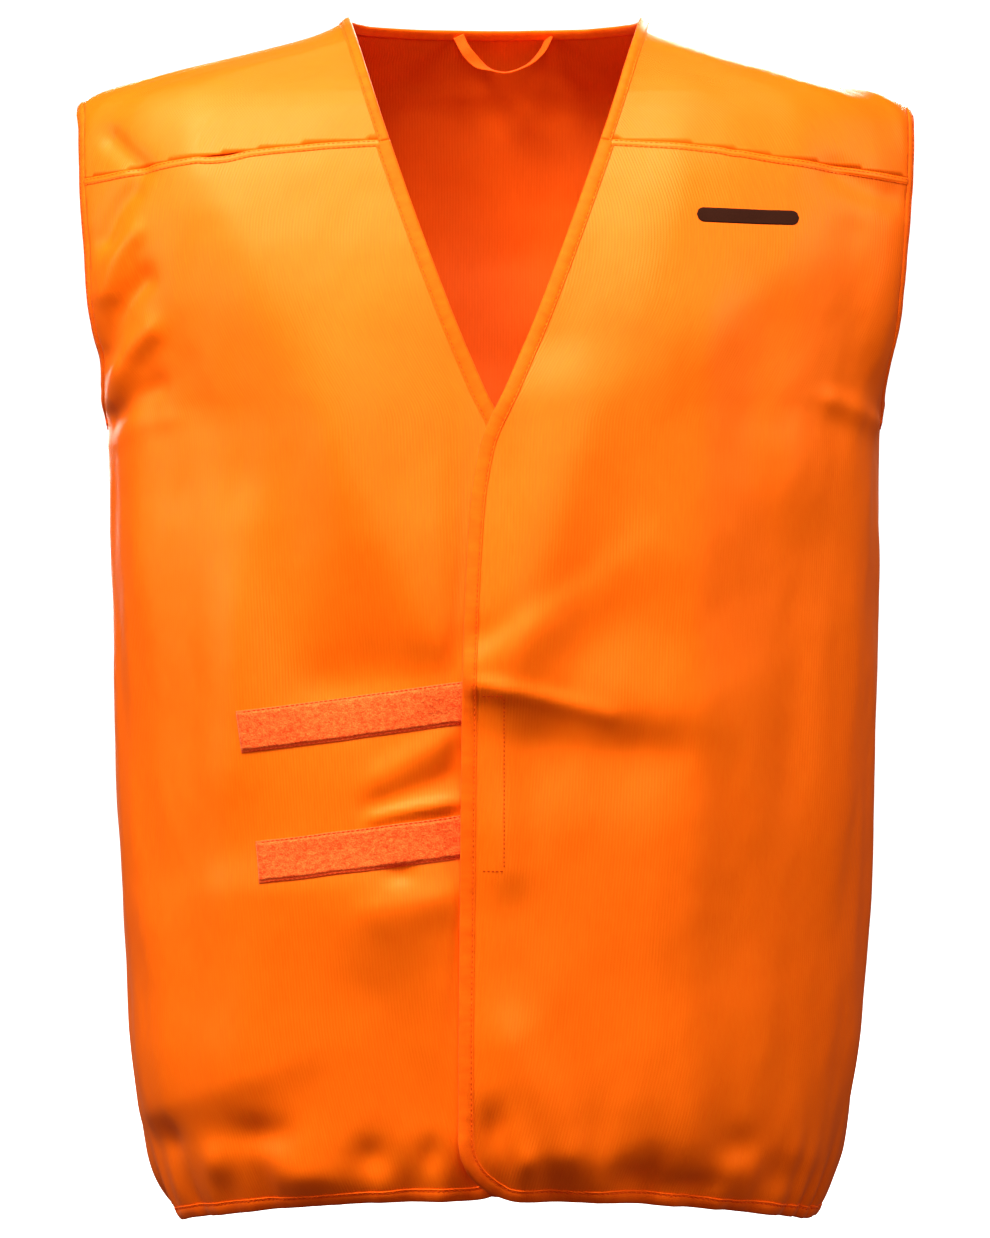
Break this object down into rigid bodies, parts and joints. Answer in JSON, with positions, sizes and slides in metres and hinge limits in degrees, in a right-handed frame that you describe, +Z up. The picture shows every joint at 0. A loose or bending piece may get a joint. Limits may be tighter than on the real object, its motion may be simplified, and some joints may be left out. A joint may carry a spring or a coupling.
{
  "type": "overlap safety vest",
  "caption": "Sleeveless bright orange overlap vest with a V neck, bound edges, front hook and loop closure and a hanging loop at the back of the neck",
  "frame": {"origin": "midway between the two high shoulder points, where the neckline crosses the shoulders", "axes": "+X to the wearer's left, -Y to the front, +Z up"},
  "size_m": [0.5044, 0.2636, 0.7396],
  "materials": {
    "cloth": "ribbed polyester, soft sheen",
    "binding": "folded polyester binding",
    "loop_tape": "fuzzy loop pile",
    "hook_tape": "stiff moulded hooks",
    "print": "matte flat print",
    "hanging_loop": "narrow ribbed tape"
  },
  "bodies": {
    "vest": {"back_panel": "cloth", "left_front_side": "cloth", "right_front_side": "cloth", "neck_binding": "binding", "hem_binding": "binding", "left_armhole_binding": "binding", "right_armhole_binding": "binding", "chest_print": "print", "upper_loop_tape_side": "loop_tape", "lower_loop_tape_side": "loop_tape"},
    "left_front": {"left_front_flap": "cloth", "left_front_binding": "binding", "hook_tape": "hook_tape"},
    "right_front": {"right_front_flap": "cloth", "right_front_binding": "binding", "upper_loop_tape_flap": "loop_tape", "lower_loop_tape_flap": "loop_tape"},
    "loop": {"hanging_loop": "hanging_loop"}
  },
  "joints": [
    {"name": "left_front_open", "type": "hinge", "parent": "vest", "child": "left_front", "pos_m": [0.033, -0.118, -0.15], "axis": [-0.18, 0, 0.9837], "range_deg": [0, 90]},
    {"name": "right_front_open", "type": "hinge", "parent": "vest", "child": "right_front", "pos_m": [-0.033, -0.118, -0.15], "axis": [0.18, 0, 0.9837], "range_deg": [-63, 0]},
    {"name": "hanging_loop_swing", "type": "hinge", "parent": "vest", "child": "loop", "pos_m": [0, 0.068, -0.003], "axis": [-1, 0, 0], "range_deg": [0, 140]}
  ],
  "couplings": [
    {"joint": "right_front_open", "follows": "left_front_open", "ratio": -0.7}
  ]
}
